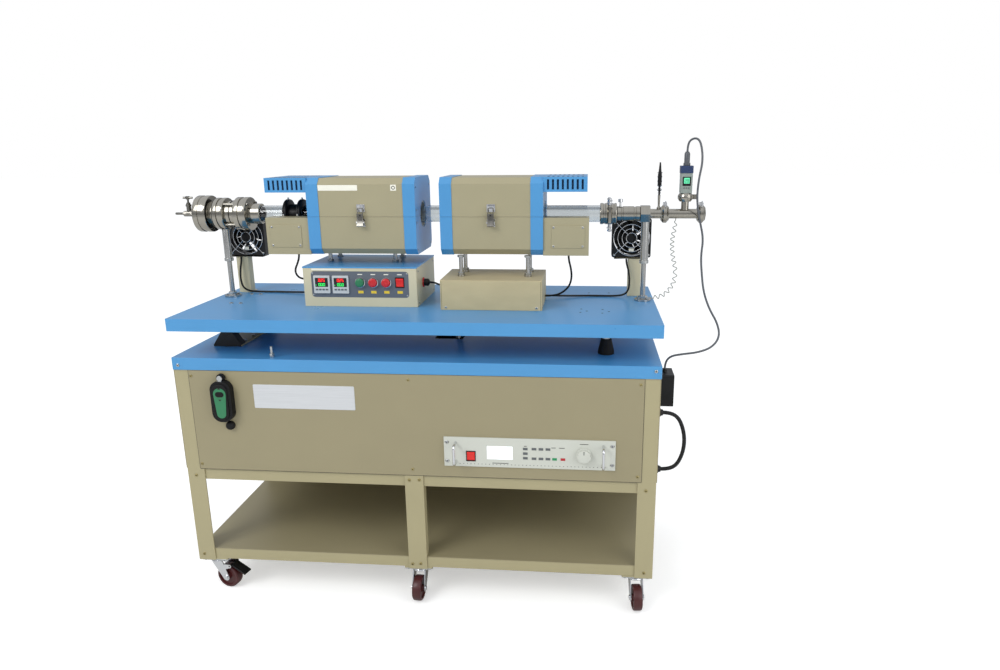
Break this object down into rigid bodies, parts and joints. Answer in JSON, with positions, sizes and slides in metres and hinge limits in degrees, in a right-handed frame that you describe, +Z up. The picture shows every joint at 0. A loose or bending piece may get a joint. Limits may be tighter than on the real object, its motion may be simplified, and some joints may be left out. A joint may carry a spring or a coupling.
{
  "type": "tube furnace",
  "caption": "Two-zone split tube furnace on a tilting table, with quartz tube, vacuum seals, fans and a plasma generator in a wheeled cabinet.",
  "frame": {"origin": "centre of the cart's footprint, on the floor", "axes": "+X along the quartz tube from the gas inlet to the vacuum outlet, +Y to the back, +Z up"},
  "size_m": [1.6739, 0.6199, 1.3539],
  "materials": {
    "painted_steel_blue": "smooth light blue enamel",
    "painted_steel_beige": "smooth warm beige enamel",
    "rack_coat": "smooth ivory enamel on the rack panel",
    "zinc_steel": "bright zinc plate",
    "stainless": "turned stainless steel",
    "chrome_fork": "chrome plate",
    "polyurethane": "red-brown polyurethane",
    "black_rubber": "matt black rubber",
    "black_plastic": "moulded black plastic",
    "grey_plastic": "moulded light grey plastic",
    "green_plastic": "glossy green plastic",
    "red_plastic": "glossy red plastic",
    "ceramic_fibre": "white ceramic fibre board",
    "quartz": "clear fused quartz",
    "cable_black": "black cable sheath",
    "cable_grey": "grey cable sheath"
  },
  "bodies": {
    "cart": {"cart_frame": "painted_steel_beige", "body_panels": "painted_steel_beige", "front_panel": "painted_steel_beige", "lower_top": "painted_steel_blue", "rf_generator": "rack_coat", "pendant_case": "green_plastic", "side_fittings": "black_plastic", "caster_plates": "zinc_steel", "tilt_supports": "zinc_steel", "side_loop": "cable_black"},
    "tilt": {"tilt_table": "painted_steel_blue", "table_brackets": "zinc_steel", "control_box": "painted_steel_beige", "control_panel": "grey_plastic", "temperature_controllers": "black_plastic", "pedestal": "painted_steel_beige", "steel_posts": "stainless", "furnace_cases": "painted_steel_beige", "lower_insulation": "ceramic_fibre", "terminal_boxes": "painted_steel_beige", "quartz_tube": "quartz", "rf_electrode": "black_plastic", "inlet_seal": "stainless", "outlet_line": "stainless", "gauge": "grey_plastic", "fans": "black_plastic", "gauge_cord": "cable_grey", "curly_cord": "cable_grey", "table_leads": "cable_black"},
    "actuator_tube": {"actuator_body": "zinc_steel"},
    "actuator_push_rod": {"actuator_rod": "stainless"},
    "left_furnace_lid": {"left_lid": "painted_steel_beige", "left_lid_insulation": "ceramic_fibre"},
    "right_furnace_lid": {"right_lid": "painted_steel_beige", "right_lid_insulation": "ceramic_fibre"},
    "left_lid_latch": {"left_latch": "stainless"},
    "right_lid_latch": {"right_latch": "stainless"},
    "gas_valve": {"valve_handle": "stainless"},
    "left_fan_impeller": {"left_impeller": "black_plastic"},
    "right_fan_impeller": {"right_impeller": "black_plastic"},
    "start": {"start_button": "green_plastic"},
    "stop": {"stop_button": "red_plastic"},
    "reset": {"reset_button": "red_plastic"},
    "power": {"power_switch": "red_plastic"},
    "knob": {"generator_knob": "rack_coat"},
    "rocker": {"generator_rocker": "red_plastic"},
    "pendant_control": {"pendant_key": "black_rubber"},
    "front_left_caster_fork": {"front_left_fork": "chrome_fork"},
    "front_left_caster_wheel": {"front_left_wheel": "polyurethane"},
    "front_middle_caster_fork": {"front_middle_fork": "chrome_fork"},
    "front_middle_caster_wheel": {"front_middle_wheel": "polyurethane"},
    "front_right_caster_fork": {"front_right_fork": "chrome_fork"},
    "front_right_caster_wheel": {"front_right_wheel": "polyurethane"},
    "rear_left_caster_fork": {"rear_left_fork": "chrome_fork"},
    "rear_left_caster_wheel": {"rear_left_wheel": "polyurethane"},
    "rear_middle_caster_fork": {"rear_middle_fork": "chrome_fork"},
    "rear_middle_caster_wheel": {"rear_middle_wheel": "polyurethane"},
    "rear_right_caster_fork": {"rear_right_fork": "chrome_fork"},
    "rear_right_caster_wheel": {"rear_right_wheel": "polyurethane"},
    "caster_brake": {"brake_pedal": "black_plastic"}
  },
  "joints": [
    {"name": "table_tilt", "type": "hinge", "parent": "cart", "child": "tilt", "pos_m": [-0.584, 0, 0.79025], "axis": [0, -1, 0], "range_deg": [0, 15]},
    {"name": "actuator_swing", "type": "hinge", "parent": "cart", "child": "actuator_tube", "pos_m": [0.014, 0, 0.464], "axis": [0, -1, 0], "range_deg": [0, 8.35]},
    {"name": "actuator_stroke", "type": "slide", "parent": "actuator_tube", "child": "actuator_push_rod", "axis": [0.2642, 0, 0.9645], "range_m": [0, 0.1721]},
    {"name": "left_lid_hinge", "type": "hinge", "parent": "tilt", "child": "left_furnace_lid", "pos_m": [-0.176, 0.155, 1.128], "axis": [-1, 0, 0], "range_deg": [0, 85]},
    {"name": "left_latch_pivot", "type": "hinge", "parent": "tilt", "child": "left_lid_latch", "pos_m": [-0.176, -0.074, 1.112], "axis": [1, 0, 0], "range_deg": [0, 65]},
    {"name": "right_lid_hinge", "type": "hinge", "parent": "tilt", "child": "right_furnace_lid", "pos_m": [0.207, 0.155, 1.128], "axis": [-1, 0, 0], "range_deg": [0, 85]},
    {"name": "right_latch_pivot", "type": "hinge", "parent": "tilt", "child": "right_lid_latch", "pos_m": [0.207, -0.074, 1.112], "axis": [1, 0, 0], "range_deg": [0, 65]},
    {"name": "gas_valve_turn", "type": "hinge", "parent": "tilt", "child": "gas_valve", "pos_m": [-0.76, 0.04, 1.172], "axis": [0, 0, 1], "range_deg": [0, 90]},
    {"name": "left_fan_spin", "type": "hinge", "parent": "tilt", "child": "left_fan_impeller", "pos_m": [-0.613, 0.12, 1.048], "axis": [0, 1, 0], "continuous": true},
    {"name": "right_fan_spin", "type": "hinge", "parent": "tilt", "child": "right_fan_impeller", "pos_m": [0.62, 0.12, 1.048], "axis": [0, 1, 0], "continuous": true},
    {"name": "start_press", "type": "slide", "parent": "tilt", "child": "start", "axis": [0, 1, 0], "range_m": [0, 0.003], "stiffness_N_per_m": 400, "springref_m": -0.001},
    {"name": "stop_press", "type": "slide", "parent": "tilt", "child": "stop", "axis": [0, 1, 0], "range_m": [0, 0.003], "stiffness_N_per_m": 400, "springref_m": -0.001},
    {"name": "reset_press", "type": "slide", "parent": "tilt", "child": "reset", "axis": [0, 1, 0], "range_m": [0, 0.003], "stiffness_N_per_m": 400, "springref_m": -0.001},
    {"name": "power_rock", "type": "hinge", "parent": "tilt", "child": "power", "pos_m": [-0.063, -0.092, 0.939], "axis": [-1, 0, 0], "range_deg": [0, 18]},
    {"name": "knob_turn", "type": "hinge", "parent": "cart", "child": "knob", "pos_m": [0.484, -0.278, 0.4895], "axis": [0, 1, 0], "continuous": true},
    {"name": "rocker_rock", "type": "hinge", "parent": "cart", "child": "rocker", "pos_m": [0.1653, -0.275, 0.4775], "axis": [-1, 0, 0], "range_deg": [0, 18]},
    {"name": "pendant_press", "type": "slide", "parent": "cart", "child": "pendant_control", "axis": [0, 1, 0], "range_m": [0, 0.0015], "stiffness_N_per_m": 400, "springref_m": -0.001},
    {"name": "front_left_swivel", "type": "hinge", "parent": "cart", "child": "front_left_caster_fork", "pos_m": [-0.641, -0.235, 0.1], "axis": [0, 0, 1], "continuous": true},
    {"name": "front_left_roll", "type": "hinge", "parent": "front_left_caster_fork", "child": "front_left_caster_wheel", "pos_m": [-0.61166, -0.24124, 0.0375], "axis": [0.2079, 0.9781, 0], "continuous": true},
    {"name": "front_middle_swivel", "type": "hinge", "parent": "cart", "child": "front_middle_caster_fork", "pos_m": [-0.004, -0.236, 0.1], "axis": [0, 0, 1], "continuous": true},
    {"name": "front_middle_roll", "type": "hinge", "parent": "front_middle_caster_fork", "child": "front_middle_caster_wheel", "pos_m": [-0.00557, -0.26596, 0.0375], "axis": [0.9986, -0.0523, 0], "continuous": true},
    {"name": "front_right_swivel", "type": "hinge", "parent": "cart", "child": "front_right_caster_fork", "pos_m": [0.641, -0.235, 0.1], "axis": [0, 0, 1], "continuous": true},
    {"name": "front_right_roll", "type": "hinge", "parent": "front_right_caster_fork", "child": "front_right_caster_wheel", "pos_m": [0.64414, -0.26484, 0.0375], "axis": [0.9945, 0.1045, 0], "continuous": true},
    {"name": "rear_left_swivel", "type": "hinge", "parent": "cart", "child": "rear_left_caster_fork", "pos_m": [-0.641, 0.235, 0.1], "axis": [0, 0, 1], "continuous": true},
    {"name": "rear_left_roll", "type": "hinge", "parent": "rear_left_caster_fork", "child": "rear_left_caster_wheel", "pos_m": [-0.64621, 0.26454, 0.0375], "axis": [-0.9848, -0.1736, 0], "continuous": true},
    {"name": "rear_middle_swivel", "type": "hinge", "parent": "cart", "child": "rear_middle_caster_fork", "pos_m": [-0.004, 0.236, 0.1], "axis": [0, 0, 1], "continuous": true},
    {"name": "rear_middle_roll", "type": "hinge", "parent": "rear_middle_caster_fork", "child": "rear_middle_caster_wheel", "pos_m": [0.00224, 0.26534, 0.0375], "axis": [-0.9781, 0.2079, 0], "continuous": true},
    {"name": "rear_right_swivel", "type": "hinge", "parent": "cart", "child": "rear_right_caster_fork", "pos_m": [0.641, 0.235, 0.1], "axis": [0, 0, 1], "continuous": true},
    {"name": "rear_right_roll", "type": "hinge", "parent": "rear_right_caster_fork", "child": "rear_right_caster_wheel", "pos_m": [0.63838, 0.26489, 0.0375], "axis": [-0.9962, -0.0872, 0], "continuous": true},
    {"name": "brake_press", "type": "hinge", "parent": "front_left_caster_fork", "child": "caster_brake", "pos_m": [-0.59601, -0.24456, 0.078], "axis": [0.2079, 0.9781, 0], "range_deg": [0, 8]}
  ],
  "couplings": [
    {"joint": "actuator_swing", "follows": "table_tilt", "ratio": 0.53693},
    {"joint": "actuator_stroke", "follows": "table_tilt", "m_per_rad": 0.64965}
  ]
}
